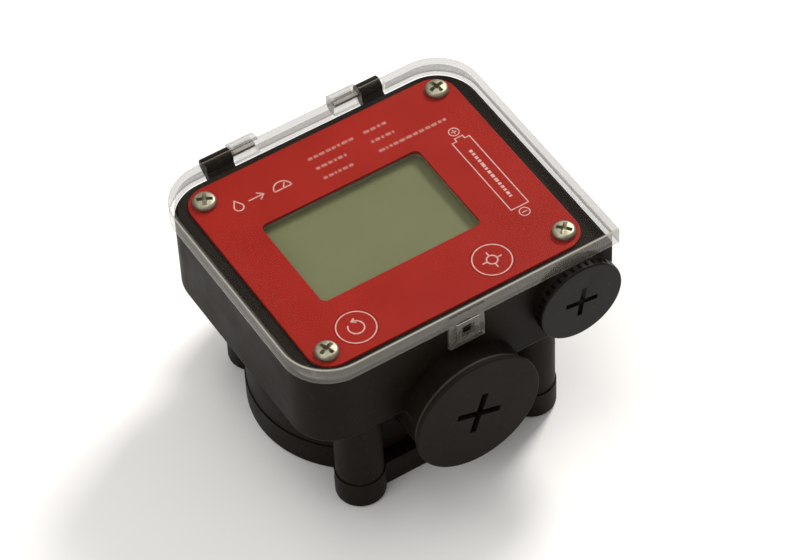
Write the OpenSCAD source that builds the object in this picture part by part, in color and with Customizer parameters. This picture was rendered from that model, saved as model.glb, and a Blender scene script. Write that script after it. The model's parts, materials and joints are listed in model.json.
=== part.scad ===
// Battery powered fuel flow meter: a moulded case with a two-rotor measuring
// chamber below, a display under a printed plate above, and a clear snap lid.
// X runs left to right, Y front to rear, Z up. The origin is on the resting
// plane, below the middle of the case.

/* [Case] */
// Width of the case, left to right
case_w = 81.2; // [80:0.2:82]
// Depth of the case, front to rear
case_d = 69.0; // [68:0.2:70]
// Height of the case's top face above the resting plane
case_top = 53.0; // [52:0.2:54]
// Height of the case's underside
case_floor = 29.5; // [28:0.5:31]
// Radius of the three round upright corners
corner_r = 10.8; // [8:0.2:12]
// Radius of the long edge that follows the battery tube
tube_edge_r = 12.3; // [10:0.1:13]

/* [Lid] */
// Width of the clear lid
lid_w = 83.3; // [82.8:0.1:84]
// Depth of the clear lid
lid_d = 71.4; // [71:0.1:72]
// Height of the lid's top face above the resting plane
lid_top = 57.1; // [57:0.1:58]
// Height of the lid's skirt
lid_h = 4.9; // [4.6:0.1:5.2]
// Wall and roof thickness of the lid
lid_wall = 1.3; // [1:0.1:1.4]
// Width of the snap tab
tab_w = 9.6; // [8:0.1:12]
// Distance the snap tab hangs below the lid's top face
tab_drop = 12.3; // [11:0.1:13]

/* [Faceplate] */
// Width of the printed plate
plate_w = 72.8; // [72:0.2:74]
// Depth of the printed plate
plate_d = 63.2; // [62:0.2:64]
// Thickness of the printed plate
plate_t = 0.7; // [0.5:0.1:0.9]
// Distance between the screws, left to right
screw_dx = 64; // [63:0.5:65]
// Distance between the screws, front to rear
screw_dy = 54; // [53:0.5:55]
// Width of the display window
window_w = 43; // [40:0.5:44]
// Depth of the display window
window_d = 27.8; // [25:0.2:29]
// Radius of the two keys
key_r = 5.1; // [4.5:0.1:5.3]
// Travel of the keys
key_travel = 0.4; // [0.3:0.05:0.4]

/* [Measuring unit] */
// Radius of the two lobes of the chamber wall
lobe_r = 26.4; // [25:0.2:27]
// Thickness of the bottom cover
cover_h = 8.2; // [7:0.2:9]
// Radius of the four screw bosses
boss_r = 5.8; // [5.4:0.1:6.2]
// Number of teeth on each rotor
teeth = 13; // [13:1:14]
// Distance between the rotor shafts
rotor_gap = 26; // [26:0.1:26.4]

/* [Ports] */
// Height of the port axis above the resting plane
port_z = 26.8; // [26:0.1:27]
// Bore radius, the major radius of a three-quarter inch pipe thread
port_r = 13.22; // [12:0.02:13.4]
// Outer radius of the port necks
neck_r = 15.6; // [15.4:0.1:16]
// Full thread length in each port
port_depth = 14; // [12:0.5:14]
// Distance from the middle of the case to each port's outermost face
port_reach = 42.4; // [42:0.1:43]

/* [Battery] */
// Radius of the battery cap
cap_r = 11.2; // [10.5:0.1:11.3]
// Radius of the cell
cell_r = 7.25; // [7:0.05:7.25]
// Length of the cell, without its end button
cell_len = 49.5; // [47:0.5:49.5]

/* [Hidden] */
$fn = 96;
eps = 0.02;
gap = 0.3;

unit_x = -1.8;
lobe_shift = 8;
boss_dx = 24;
boss_y = [-27.5, 22];
web_y = [-30, 24.6];
cover_lip = 0.3;
rotor_x = [unit_x - rotor_gap / 2, unit_x + rotor_gap / 2];
module_size = rotor_gap / teeth;
tooth_tip = 0.9;
tooth_root = 1.1;
chamber_play = 0.4;
chamber_r = rotor_gap / 2 + tooth_tip * module_size + chamber_play;
chamber_top = 25.2;
groove_in = chamber_r + 1.2;
groove_out = chamber_r + 2.4;
groove_h = 1;
passage_w = 10;
passage_z = 14;
passage_y = 8;
shaft_seat = 3;
magnet_h = 2.6;
pocket_h = 3;
rotor_h = chamber_top - cover_h - 2 * gap;
sensor_r = 2.8;
sensor_z = 27.6;
sensor_h = 9;
well_r = 3.2;
shaft_r = 3.0;
bush_r = 4.4;
magnet_ring = 7.6;
magnet_r = 1.6;
sensor_x = rotor_x[0] - magnet_ring;

bay_floor = 38.5;
bay_x = [-33.2, 20.6];
bay_y = 28.6;
ledge_z = case_top - 1.1;
lip_inset = 0.9;
lid_bottom = lid_top - lid_h;
post_r = 4.0;
pilot_r = 1.55;
pilot_z = 48.4;
head_r = 2.9;
head_h = 1.7;
plate_hole_r = 1.65;
plate_corner = 6;
window_r = 1.5;
seal_depth = 0.7;
seal_in = 0.7;
seal_w = 1.2;
counterbore_r = 3.4;
counterbore_z = 3.4;
cover_hole_r = 1.8;
cover_pilot_r = 1.65;
cover_pilot_h = 12;

axis_y = 37.0;
axis_z = 53.6;
lug_r = 2.0;
knuckle_r = 2.6;
pin_r = 0.8;
lug_foot = 49.4;
left_lug = [-26.6, -19.4];
left_knuckle = [-19.1, -12.2];
right_knuckle = [8.6, 15.7];
right_lug = [16.0, 21.9];

tab_x = -0.3;
tab_back = case_d / 2 + 0.25;
tab_front = tab_back + 1.25;
catch_z = [48.9, 51.2];
catch_reach = 0.8;
tab_hole = 3.2;
pad_w = 6.2;
pad_h = 6.3;
pad_z = 46.9;

plate_top = case_top + plate_t;
window_pos = [-3.5, -0.2];
keys = [[-22.6, -24.4], [13.8, -24.7]];
board_z = 44.9;
board_t = 1.6;
board_top = board_z + board_t;
board_w = 51.8;
board_post_r = 2.6;
board_hole_r = 1.3;
board_pilot_r = 1.1;
board_pilot_z = 40;
switch_h = 3.25;
key_under = case_top + key_travel + 0.05;
key_hub_z = case_top - 0.5;
key_hub_r = 3.4;
key_stem_r = 1.6;
key_foot = board_top + switch_h + key_travel + 0.05;
glass_z = 49.9;
glass_t = 1.4;
glass_w = 45.2;
glass_d = 30.8;
frame_w = 47.8;
pane_z = 52.1;
pane_t = 0.8;
board_screws = [[-30.3, -12], [-30.3, 12], [3, -24.4], [12, 24]];

cap_pos = [29.4, 41.8];
cell_pos = [28.2, 40.6];
cap_back = 36.05;
cap_front = 38.3;
spigot_r = 9.0;
mouth_r = 9.25;
spigot_end = 30.0;
cell_front = 27.0;
tube_r = cell_r + 0.25;
tube_end = cell_len - cell_front + 1.5;
contact_t = 0.4;
slot_z = 38.6;
slot_h = 4;
button_r = 2.75;
notches = 36;
spring_well_r = 6.5;
cap_floor = 33.5;
ring_y = 35;
ring_r = 8.78;
cap_arm = 8.8;
cap_slot = 1.4;

flange_r = 16.7;
flange_t = 1.3;
washer_t = 0.9;
flange_back = port_reach - flange_t;
neck_end = flange_back - washer_t;
plug_r = port_r - 0.32;
plug_end = 30.4;
plug_wall = 2.2;
plug_floor = 37;
plug_arm = 12.2;
plug_slot = 1.8;

// ---- shapes that repeat ----

// Rounded rectangle about the origin.
module round_rect(w, d, r) {
    square([w - 2 * r, d], center = true);
    square([w, d - 2 * r], center = true);
    for (sx = [-1, 1], sy = [-1, 1])
        translate([sx * (w / 2 - r), sy * (d / 2 - r)]) circle(r = r);
}

// The case's plan: three round corners and a square one at the front right.
module case_plan(w, d, r) {
    round_rect(w, d, r);
    translate([w / 2 - r, -d / 2]) square([r, r]);
}

// The printed plate's outline, drawn in by inset.
module plate_edge(inset) {
    round_rect(plate_w - 2 * inset, plate_d - 2 * inset, plate_corner - inset);
}

// Solid cylinder along Y from y0 to y1.
module y_rod(r, y0, y1) {
    translate([0, y1, 0]) rotate([90, 0, 0]) cylinder(r = r, h = y1 - y0);
}

// Solid cylinder along X from x[0] to x[1].
module x_rod(r, x) {
    translate([x[0], 0, 0]) rotate([0, 90, 0]) cylinder(r = r, h = x[1] - x[0]);
}

// Two overlapping circles joined into one outline, used around both rotors.
module racetrack(spread, r) {
    translate([unit_x, 0]) {
        for (s = [-1, 1]) translate([s * spread, 0]) circle(r = r);
        square([2 * spread, 2 * r], center = true);
    }
}

module at_bosses() {
    for (sx = [-1, 1], y = boss_y)
        translate([unit_x + sx * boss_dx, y, 0]) children();
}

module at_plate_screws() {
    for (sx = [-1, 1], sy = [-1, 1])
        translate([sx * screw_dx / 2, sy * screw_dy / 2, 0]) children();
}

// Pan head screw, head underside at z = 0, shank pointing down.
module pan_screw(head_r, head_h, shank_r, length) {
    difference() {
        union() {
            intersection() {
                cylinder(r = head_r, h = head_h);
                translate([0, 0, head_h - 2.2 * head_r]) sphere(r = 2.2 * head_r);
            }
            translate([0, 0, -length]) cylinder(r = shank_r, h = length + eps);
        }
        for (a = [0, 90]) rotate(a) translate([-head_r * 0.5, -head_r * 0.1, head_h * 0.4])
            cube([head_r, head_r * 0.2, head_h]);
    }
}

// Cross slot cut into a face at y = -face, looking along +Y.
module cross_slot(face, arm, width, depth, turn) {
    translate([0, -face - eps, 0]) rotate([0, turn, 0])
        for (a = [0, 90]) rotate([0, a, 0])
            translate([-arm / 2, 0, -width / 2]) cube([arm, depth + eps, width]);
}

// Outline of the measuring unit where it meets the bottom cover.
module unit_plan(grow) {
    racetrack(lobe_shift, lobe_r + grow);
    translate([unit_x - boss_dx, web_y[0] - grow]) square([2 * boss_dx, web_y[1] - web_y[0] + 2 * grow]);
    at_bosses() circle(r = boss_r + grow);
}

// ---- gear outline ----

pressure = 25;
pitch_r = rotor_gap / 2;
base_r = pitch_r * cos(pressure);
tip_r = pitch_r + tooth_tip * module_size;
root_r = pitch_r - tooth_root * module_size;
backlash = 0.3;
half_tooth = 90 / teeth - backlash / 2 / pitch_r * 180 / PI;

function involute(r) = tan(acos(base_r / r)) * 180 / PI - acos(base_r / r);
function flank_angle(r) = half_tooth + involute(pitch_r) - involute(max(r, base_r));
function polar(r, a) = [r * cos(a), r * sin(a)];
flank_steps = 6;
flank = [for (i = [0:flank_steps]) base_r + (tip_r - base_r) * i / flank_steps];
tooth = concat(
    [polar(root_r, -flank_angle(base_r))],
    [for (r = flank) polar(r, -flank_angle(r))],
    [for (i = [flank_steps:-1:0]) polar(flank[i], flank_angle(flank[i]))],
    [polar(root_r, flank_angle(base_r))]);

module gear_plan() {
    circle(r = root_r + eps);
    for (i = [0:teeth - 1]) rotate(i * 360 / teeth)
        polygon(concat([[0, 0]], tooth));
}

// ---- case and measuring unit ----

module case_block() {
    intersection() {
        union() {
            translate([0, 0, case_floor]) linear_extrude(ledge_z - case_floor)
                case_plan(case_w, case_d, corner_r);
            translate([0, 0, ledge_z - 1]) linear_extrude(case_top - ledge_z + 1)
                case_plan(case_w - 2 * lip_inset, case_d - 2 * lip_inset, corner_r - lip_inset);
        }
        translate([0, case_d, 0]) rotate([90, 0, 0]) linear_extrude(2 * case_d) {
            translate([-case_w, 0]) square([case_w * 1.5 - tube_edge_r, 2 * case_w]);
            translate([0, case_floor + tube_edge_r]) square([case_w / 2, 2 * case_w]);
            translate([case_w / 2 - tube_edge_r, case_floor + tube_edge_r]) circle(r = tube_edge_r);
        }
    }
}

module hinge_lug(x) {
    difference() {
        union() {
            translate([0, axis_y, axis_z]) x_rod(lug_r, x);
            translate([x[0], 0, 0]) rotate([90, 0, 90]) linear_extrude(x[1] - x[0])
                polygon([[case_d / 2 - 1, lug_foot], [case_d / 2, lug_foot], [axis_y + lug_r, axis_z - 0.6],
                    [axis_y, axis_z], [axis_y - 1, axis_z], [case_d / 2 - 0.6, ledge_z],
                    [case_d / 2 - 1, ledge_z]]);
        }
        translate([0, axis_y, axis_z]) x_rod(pin_r + 0.02, [x[0] + 0.6, x[1] + 1]);
    }
}

// The snap catch on the front face: flat below, sloping above.
module snap_catch() {
    translate([tab_x - 1.2, 0, 0]) rotate([90, 0, 90]) linear_extrude(2.4)
        polygon([[-case_d / 2 + 1, catch_z[0]], [-case_d / 2 - catch_reach, catch_z[0]],
            [-case_d / 2 - catch_reach, catch_z[0] + 0.9], [-case_d / 2, catch_z[1]],
            [-case_d / 2 + 1, catch_z[1]]]);
}

module port_hole() {
    translate([unit_x, 0, port_z]) {
        y_rod(port_r, port_reach - port_depth, port_reach + 1);
        y_rod(port_r, -port_reach - 1, -port_reach + port_depth);
    }
    for (s = [-1, 1])
        translate([unit_x - passage_w / 2, s > 0 ? passage_y : -port_reach + port_depth - 0.5, passage_z])
            cube([passage_w, port_reach - port_depth - passage_y + 0.5, chamber_top - passage_z]);
}

module battery_hole() {
    translate([cap_pos[0], 0, cap_pos[1]]) y_rod(mouth_r, -cap_back - 1, -spigot_end + 0.6);
    translate([cell_pos[0], 0, cell_pos[1]]) y_rod(tube_r, -spigot_end, tube_end);
}

module housing() {
    color([0.14, 0.13, 0.12]) difference() {
        union() {
            case_block();
            translate([0, 0, cover_h]) linear_extrude(case_floor - cover_h + 1)
                racetrack(lobe_shift, lobe_r);
            translate([0, 0, cover_h]) at_bosses() cylinder(r = boss_r, h = case_floor - cover_h + 1);
            translate([unit_x - boss_dx, boss_y[0] + 1, cover_h])
                cube([2 * boss_dx, boss_y[1] - boss_y[0] - 2, case_floor - cover_h + 1]);
            translate([unit_x, 0, port_z]) {
                y_rod(neck_r, -neck_end, 0);
                y_rod(neck_r, 0, port_reach);
            }
            intersection() {
                translate([cap_pos[0], 0, cap_pos[1]]) y_rod(cap_r - 0.3, -cap_back + 0.05, -case_d / 2 + 2);
                translate([0, -60, 0]) cube([60, 60, lid_bottom - 0.35]);
            }
            hinge_lug(left_lug);
            mirror([1, 0, 0]) hinge_lug([-right_lug[1], -right_lug[0]]);
            snap_catch();
        }
        difference() {
            translate([bay_x[0], -bay_y, bay_floor])
                cube([bay_x[1] - bay_x[0], 2 * bay_y, case_top - bay_floor + 1]);
            for (s = [-1, 1]) translate([-screw_dx / 2, s * screw_dy / 2, bay_floor - 1])
                cylinder(r = post_r, h = 20);
            for (p = board_screws) translate([p[0], p[1], bay_floor - 1])
                cylinder(r = board_post_r, h = board_z - bay_floor + 1);
            translate([cell_pos[0], 0, cell_pos[1]]) y_rod(tube_r + 1.8, -bay_y - 1, bay_y + 1);
        }
        translate([0, 0, case_top - seal_depth]) linear_extrude(1) difference() {
            plate_edge(seal_in);
            plate_edge(seal_in + seal_w);
        }
        at_plate_screws() translate([0, 0, pilot_z]) cylinder(r = pilot_r, h = case_top);
        for (p = board_screws) translate([p[0], p[1], board_pilot_z])
            cylinder(r = board_pilot_r, h = board_z - board_pilot_z + 1);
        translate([sensor_x, 0, sensor_z - 0.2]) cylinder(r = well_r, h = bay_floor - sensor_z + 1);
        for (x = rotor_x) translate([x, 0, cover_h - 1])
            cylinder(r = chamber_r, h = chamber_top - cover_h + 1);
        for (x = rotor_x) translate([x, 0, chamber_top - 1]) cylinder(r = shaft_r + 0.02, h = 1.6);
        translate([0, 0, cover_h - eps]) linear_extrude(groove_h) difference() {
            racetrack(rotor_gap / 2, groove_out);
            racetrack(rotor_gap / 2, groove_in);
        }
        at_bosses() translate([0, 0, cover_h - 1]) cylinder(r = cover_pilot_r, h = cover_pilot_h);
        port_hole();
        battery_hole();
        translate([bay_x[1] - 3, tube_end - 1.6, slot_z]) cube([12, 2 * contact_t, slot_h]);
        translate([bay_x[1] - 3, -spigot_end + 1.4, slot_z]) cube([4, 2 * contact_t, slot_h]);
    }
}

module bottom_cover() {
    color([0.12, 0.11, 0.10]) difference() {
        linear_extrude(cover_h) unit_plan(cover_lip);
        at_bosses() {
            translate([0, 0, -1]) cylinder(r = counterbore_r, h = counterbore_z + 1);
            translate([0, 0, -1]) cylinder(r = cover_hole_r, h = cover_h + 2);
        }
        for (x = rotor_x) translate([x, 0, shaft_seat]) cylinder(r = shaft_r + 0.01, h = cover_h);
    }
}

module cover_gasket() {
    color([0.10, 0.10, 0.10]) translate([0, 0, cover_h]) linear_extrude(groove_h - 0.04) difference() {
        racetrack(rotor_gap / 2, groove_out - 0.05);
        racetrack(rotor_gap / 2, groove_in + 0.05);
    }
}

module cover_screws() {
    color([0.62, 0.60, 0.52]) at_bosses() translate([0, 0, counterbore_z])
        mirror([0, 0, 1]) pan_screw(head_r, head_h, 1.6, 14);
}

module rotor_shafts() {
    color([0.70, 0.70, 0.72]) for (x = rotor_x) translate([x, 0, shaft_seat])
        cylinder(r = shaft_r, h = chamber_top + 0.5 - shaft_seat);
}

module rotor(x, pockets) {
    translate([x, 0, cover_h + gap]) difference() {
        linear_extrude(rotor_h) gear_plan();
        translate([0, 0, -1]) cylinder(r = bush_r, h = 30);
        if (pockets) for (s = [-1, 1]) translate([s * magnet_ring, 0, rotor_h - pocket_h])
            cylinder(r = magnet_r, h = 4);
    }
}

module left_rotor() {
    color([0.85, 0.84, 0.78]) rotor(rotor_x[0], true);
}

module right_rotor() {
    color([0.85, 0.84, 0.78]) rotor(rotor_x[1], false);
}

module bush(x) {
    color([0.45, 0.40, 0.30]) translate([x, 0, cover_h + gap]) difference() {
        cylinder(r = bush_r, h = rotor_h);
        translate([0, 0, -1]) cylinder(r = shaft_r + 0.05, h = 30);
    }
}

module rotor_magnets() {
    color([0.55, 0.55, 0.58]) for (s = [-1, 1])
        translate([rotor_x[0] + s * magnet_ring, 0, chamber_top - gap - pocket_h])
            cylinder(r = magnet_r, h = magnet_h);
}

// ---- electronics ----

module flow_sensor() {
    color([0.20, 0.20, 0.22]) {
        translate([sensor_x, 0, sensor_z]) cylinder(r = sensor_r, h = sensor_h);
        for (s = [-1, 1]) translate([sensor_x + s * 1.3, 0, sensor_z + sensor_h - 0.6])
            cylinder(r = 0.3, h = board_z - sensor_z - sensor_h + 0.6);
    }
}

module circuit_board() {
    color([0.10, 0.34, 0.18]) translate([0, 0, board_z]) difference() {
        translate([bay_x[0] + 0.5, -bay_y + 0.6, 0]) cube([board_w, 2 * bay_y - 1.2, board_t]);
        for (s = [-1, 1]) translate([-screw_dx / 2, s * screw_dy / 2, -1]) cylinder(r = post_r + 0.4, h = 4);
        for (p = board_screws) translate([p[0], p[1], -1]) cylinder(r = board_hole_r, h = 4);
    }
}

module board_screws() {
    color([0.66, 0.64, 0.58]) for (p = board_screws)
        translate([p[0], p[1], board_top]) pan_screw(2.1, 1.4, board_pilot_r - 0.05, 5.6);
}

module board_components() {
    color([0.13, 0.13, 0.14]) {
        translate([-12, -8, board_z - 1.5]) cube([10, 10, 1.5]);
        translate([6, 4, board_z - 2.2]) cube([7, 3, 2.2]);
        for (i = [0:3]) translate([-26 + 3.4 * i, 10, board_z - 0.9]) cube([2, 1.2, 0.9]);
    }
}

module tact_switches() {
    color([0.16, 0.16, 0.17]) for (k = keys) translate([k[0], k[1], board_top]) {
        translate([-2.6, -2.6, 0]) cube([5.2, 5.2, switch_h - 0.8]);
        cylinder(r = 1.4, h = switch_h);
    }
}

module contact_rubbers() {
    color([0.85, 0.55, 0.60]) for (s = [-1, 1])
        translate([window_pos[0] - 20, window_pos[1] + s * (glass_d / 2 - 1.6) - 1, board_top])
            cube([40, 2, glass_z - board_top]);
}

module display_glass() {
    color([0.50, 0.52, 0.40]) translate([window_pos[0] - glass_w / 2, window_pos[1] - glass_d / 2, glass_z])
        cube([glass_w, glass_d, glass_t]);
}

module display_frame() {
    color([0.10, 0.10, 0.10]) translate([window_pos[0], window_pos[1], board_top]) difference() {
        translate([-glass_w / 2 - 1.6, -glass_d / 2 - 1.8, 0])
            cube([frame_w, glass_d + 3.6, case_top - 0.05 - board_top]);
        translate([-glass_w / 2 - 0.2, -glass_d / 2 - 0.2, -1])
            cube([glass_w + 0.4, glass_d + 0.4, glass_z + glass_t - board_top + 1.02]);
        translate([0, 0, -1]) linear_extrude(case_top)
            round_rect(window_w + 0.8, window_d + 0.8, window_r + 0.2);
        translate([0, 0, pane_z - board_top]) linear_extrude(case_top)
            round_rect(window_w + 2.4, window_d + 2.4, window_r + 0.5);
    }
}

module window_pane() {
    color([0.85, 0.88, 0.85, 0.4]) translate([window_pos[0], window_pos[1], pane_z + 0.02])
        linear_extrude(pane_t) round_rect(window_w + 2.2, window_d + 2.2, window_r + 0.4);
}

module faceplate_gasket() {
    color([0.11, 0.11, 0.11]) translate([0, 0, case_top - seal_depth + 0.02])
        linear_extrude(seal_depth - 0.04) difference() {
            plate_edge(seal_in + 0.1);
            plate_edge(seal_in + seal_w - 0.1);
        }
}

module faceplate() {
    color([0.69, 0.19, 0.14]) translate([0, 0, case_top]) linear_extrude(plate_t) difference() {
        plate_edge(0);
        translate(window_pos) round_rect(window_w, window_d, window_r);
        for (k = keys) translate(k) circle(r = key_r + 0.06);
        at_plate_screws() circle(r = plate_hole_r);
    }
}

module faceplate_screws() {
    color([0.62, 0.60, 0.52]) at_plate_screws() translate([0, 0, plate_top]) rotate(20)
        pan_screw(head_r, head_h, 1.5, 5);
}

module key(pos) {
    color([0.69, 0.19, 0.14]) translate([pos[0], pos[1], 0]) {
        translate([0, 0, key_under]) cylinder(r = key_r, h = plate_top - key_under);
        translate([0, 0, key_hub_z]) cylinder(r = key_hub_r, h = key_under - key_hub_z + eps);
        translate([0, 0, key_foot]) cylinder(r = key_stem_r, h = key_hub_z - key_foot + eps);
    }
}

module reset_key() {
    key(keys[0]);
}

module calibrate_key() {
    key(keys[1]);
}

// ---- lid ----

module lid_knuckle(x) {
    translate([0, axis_y, axis_z]) x_rod(knuckle_r, x);
    translate([x[0], lid_d / 2 - 0.5, lid_bottom]) cube([x[1] - x[0], axis_y - lid_d / 2 + 0.5, 3.6]);
}

module lid() {
    color([0.80, 0.84, 0.80, 0.35]) difference() {
        union() {
            difference() {
                translate([0, 0, lid_bottom]) linear_extrude(lid_h)
                    case_plan(lid_w, lid_d, corner_r + (lid_w - case_w) / 2);
                translate([0, 0, lid_bottom - 1]) linear_extrude(lid_h - lid_wall + 1)
                    case_plan(lid_w - 2 * lid_wall, lid_d - 2 * lid_wall, corner_r - 0.3);
                for (x = [left_lug, right_lug])
                    translate([x[0] - gap, lid_d / 2 - 3, lid_bottom - 1])
                        cube([x[1] - x[0] + 2 * gap, 6, lid_h - lid_wall + 1]);
            }
            lid_knuckle(left_knuckle);
            lid_knuckle(right_knuckle);
            translate([tab_x - tab_w / 2, -tab_front, lid_top - tab_drop])
                cube([tab_w, tab_front - tab_back, tab_drop - 1]);
            translate([tab_x - pad_w / 2, -tab_front - 0.4, pad_z]) cube([pad_w, 1, pad_h]);
        }
        translate([tab_x - tab_hole / 2, -tab_front - 1, catch_z[0] - 0.5])
            cube([tab_hole, 3, catch_z[1] - catch_z[0] + 1]);
        translate([tab_x - tab_hole / 2, -tab_back - 0.75, lid_top - tab_drop - 1]) cube([tab_hole, 1, 7.5]);
        translate([0, axis_y, axis_z]) {
            x_rod(pin_r + 0.05, [left_knuckle[0] - 1, left_knuckle[1] - 0.6]);
            x_rod(pin_r + 0.05, [right_knuckle[0] + 0.6, right_knuckle[1] + 1]);
        }
    }
}

module hinge_pins() {
    color([0.70, 0.70, 0.72]) translate([0, axis_y, axis_z]) {
        x_rod(pin_r, [left_lug[0] + 0.7, left_knuckle[1] - 0.8]);
        x_rod(pin_r, [right_knuckle[0] + 0.8, right_lug[1] - 0.7]);
    }
}

// ---- plugs and battery ----

module front_plug() {
    color([0.13, 0.12, 0.11]) translate([unit_x, 0, port_z]) difference() {
        union() {
            y_rod(flange_r, -port_reach, -flange_back);
            y_rod(plug_r, -flange_back - eps, -plug_end);
        }
        y_rod(plug_r - plug_wall, -plug_floor, -plug_end + 1);
        cross_slot(port_reach, plug_arm, plug_slot, 3, 18);
    }
}

module plug_washer() {
    color([0.30, 0.29, 0.27]) translate([unit_x, 0, port_z]) difference() {
        y_rod(flange_r - 0.5, -flange_back + eps, -neck_end - eps);
        y_rod(plug_r + 0.05, -port_reach, -20);
    }
}

module battery_cap() {
    color([0.13, 0.12, 0.12]) translate([cap_pos[0], 0, cap_pos[1]]) difference() {
        union() {
            y_rod(cap_r, -cap_front, -cap_back);
            y_rod(spigot_r, -cap_back - eps, -spigot_end);
        }
        for (i = [0:notches - 1]) rotate([0, i * 360 / notches, 0]) translate([cap_r + 0.15, 0, 0])
            y_rod(0.45, -cap_front + 0.7, -cap_back + 1);
        y_rod(spring_well_r, -cap_floor, -spigot_end + 1);
        rotate([90, 0, 0]) translate([0, 0, ring_y]) rotate_extrude()
            translate([ring_r + 0.06, 0]) square([1, 0.9], center = true);
        cross_slot(cap_front, cap_arm, cap_slot, 1.6, 9);
    }
}

module cap_seal() {
    color([0.08, 0.08, 0.08]) translate([cap_pos[0], 0, cap_pos[1]])
        rotate([90, 0, 0]) translate([0, 0, ring_y]) rotate_extrude() translate([ring_r, 0]) circle(r = 0.4);
}

wire_r = 0.35;
coil_turns = 4;
coil_steps = 14;
coil_sides = 8;
coil_len = 5.6;

// Ring j of the coil, a circle of wire around its centre line.
function coil_ring(j) =
    let (a = j * 360 / coil_steps, r = 5.4 - 1.2 * j / (coil_turns * coil_steps),
        y = coil_len * j / (coil_turns * coil_steps))
    [for (k = [0:coil_sides - 1]) let (b = -k * 360 / coil_sides)
        [(r + wire_r * cos(b)) * cos(a), y + wire_r * sin(b), (r + wire_r * cos(b)) * sin(a)]];

module coil() {
    rings = coil_turns * coil_steps;
    points = [for (j = [0:rings]) each coil_ring(j)];
    sides = [for (j = [0:rings - 1], k = [0:coil_sides - 1])
        [j * coil_sides + k, j * coil_sides + (k + 1) % coil_sides,
            (j + 1) * coil_sides + (k + 1) % coil_sides, (j + 1) * coil_sides + k]];
    first = [for (k = [coil_sides - 1:-1:0]) k];
    last = [for (k = [0:coil_sides - 1]) rings * coil_sides + k];
    polyhedron(points = points, faces = concat(sides, [first, last]), convexity = 6);
}

module battery_spring() {
    color([0.72, 0.72, 0.74]) translate([cap_pos[0], -cap_floor + 0.4, cap_pos[1]]) coil();
}

module battery_cell() {
    color([0.30, 0.42, 0.30]) translate([cell_pos[0], 0, cell_pos[1]]) {
        y_rod(cell_r, -cell_front, cell_len - cell_front);
        y_rod(button_r, cell_len - cell_front - eps, cell_len - cell_front + 1);
    }
}

module battery_contacts() {
    color([0.75, 0.72, 0.60]) {
        translate([cell_pos[0], 0, cell_pos[1]]) y_rod(4.5, tube_end - contact_t - 0.05, tube_end - 0.05);
        translate([bay_x[1] - 2.5, tube_end - contact_t - 0.95, slot_z + 0.4])
            cube([6, contact_t, slot_h - 0.8]);
        translate([bay_x[1] - 2.5, -spigot_end + 1.6, slot_z + 0.4]) cube([2.3, contact_t, slot_h - 0.8]);
    }
}

housing();
bottom_cover();
cover_gasket();
cover_screws();
rotor_shafts();
left_rotor();
right_rotor();
bush(rotor_x[0]);  // left_bush
bush(rotor_x[1]);  // right_bush
rotor_magnets();
flow_sensor();
circuit_board();
board_screws();
board_components();
tact_switches();
contact_rubbers();
display_glass();
display_frame();
window_pane();
faceplate_gasket();
faceplate();
faceplate_screws();
reset_key();
calibrate_key();
lid();
hinge_pins();
front_plug();
plug_washer();
battery_cap();
cap_seal();
battery_spring();
battery_cell();
battery_contacts();
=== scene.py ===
import json
import math
import random

import bmesh
import bpy
from mathutils import Matrix, Vector


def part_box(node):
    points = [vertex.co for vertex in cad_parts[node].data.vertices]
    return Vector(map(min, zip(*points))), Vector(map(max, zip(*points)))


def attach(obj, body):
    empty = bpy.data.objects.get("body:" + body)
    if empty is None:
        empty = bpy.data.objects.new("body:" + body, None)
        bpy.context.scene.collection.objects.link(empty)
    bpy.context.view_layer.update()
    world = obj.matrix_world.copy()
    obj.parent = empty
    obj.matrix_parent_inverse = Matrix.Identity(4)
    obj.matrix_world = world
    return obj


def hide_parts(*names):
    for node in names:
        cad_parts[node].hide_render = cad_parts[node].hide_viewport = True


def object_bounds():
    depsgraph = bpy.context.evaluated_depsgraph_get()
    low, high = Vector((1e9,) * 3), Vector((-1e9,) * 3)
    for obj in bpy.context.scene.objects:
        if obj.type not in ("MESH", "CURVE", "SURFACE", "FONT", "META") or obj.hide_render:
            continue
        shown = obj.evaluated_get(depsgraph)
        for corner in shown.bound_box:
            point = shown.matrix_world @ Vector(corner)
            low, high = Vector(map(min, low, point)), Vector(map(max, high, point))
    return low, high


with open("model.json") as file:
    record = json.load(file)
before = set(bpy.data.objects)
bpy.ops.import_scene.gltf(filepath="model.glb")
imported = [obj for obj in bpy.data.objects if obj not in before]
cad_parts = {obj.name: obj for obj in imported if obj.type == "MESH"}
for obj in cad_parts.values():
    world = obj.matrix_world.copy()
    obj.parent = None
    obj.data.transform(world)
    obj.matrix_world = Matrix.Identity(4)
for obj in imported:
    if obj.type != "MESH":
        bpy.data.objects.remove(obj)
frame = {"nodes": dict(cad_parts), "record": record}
cad_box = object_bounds()

MM = 0.001
SMOOTH_ANGLE = math.radians(38)


# ---- places taken from the frame ----

def corners(node):
    """Lowest and highest corner of a CAD node, in millimetres."""
    low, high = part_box(node)
    return low / MM, high / MM


def middle(node):
    low, high = corners(node)
    return (low + high) / 2


case_low, case_high = corners("housing")
cover_high = corners("bottom_cover")[1]
plate_low, plate_high = corners("faceplate")
lid_low, lid_high = corners("lid")
plug_low, plug_high = corners("front_plug")
cap_low, cap_high = corners("battery_cap")
washer_low, washer_high = corners("plug_washer")
port = middle("front_plug")
cap = middle("battery_cap")
cell = middle("battery_cell")
reset = middle("reset_key")
calibrate = middle("calibrate_key")
screws_low, screws_high = corners("faceplate_screws")
head_r = 2.9
head_h = 1.7
screw_places = [(x, y) for x in (screws_low.x + head_r, screws_high.x - head_r)
                for y in (screws_low.y + head_r, screws_high.y - head_r)]

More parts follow.
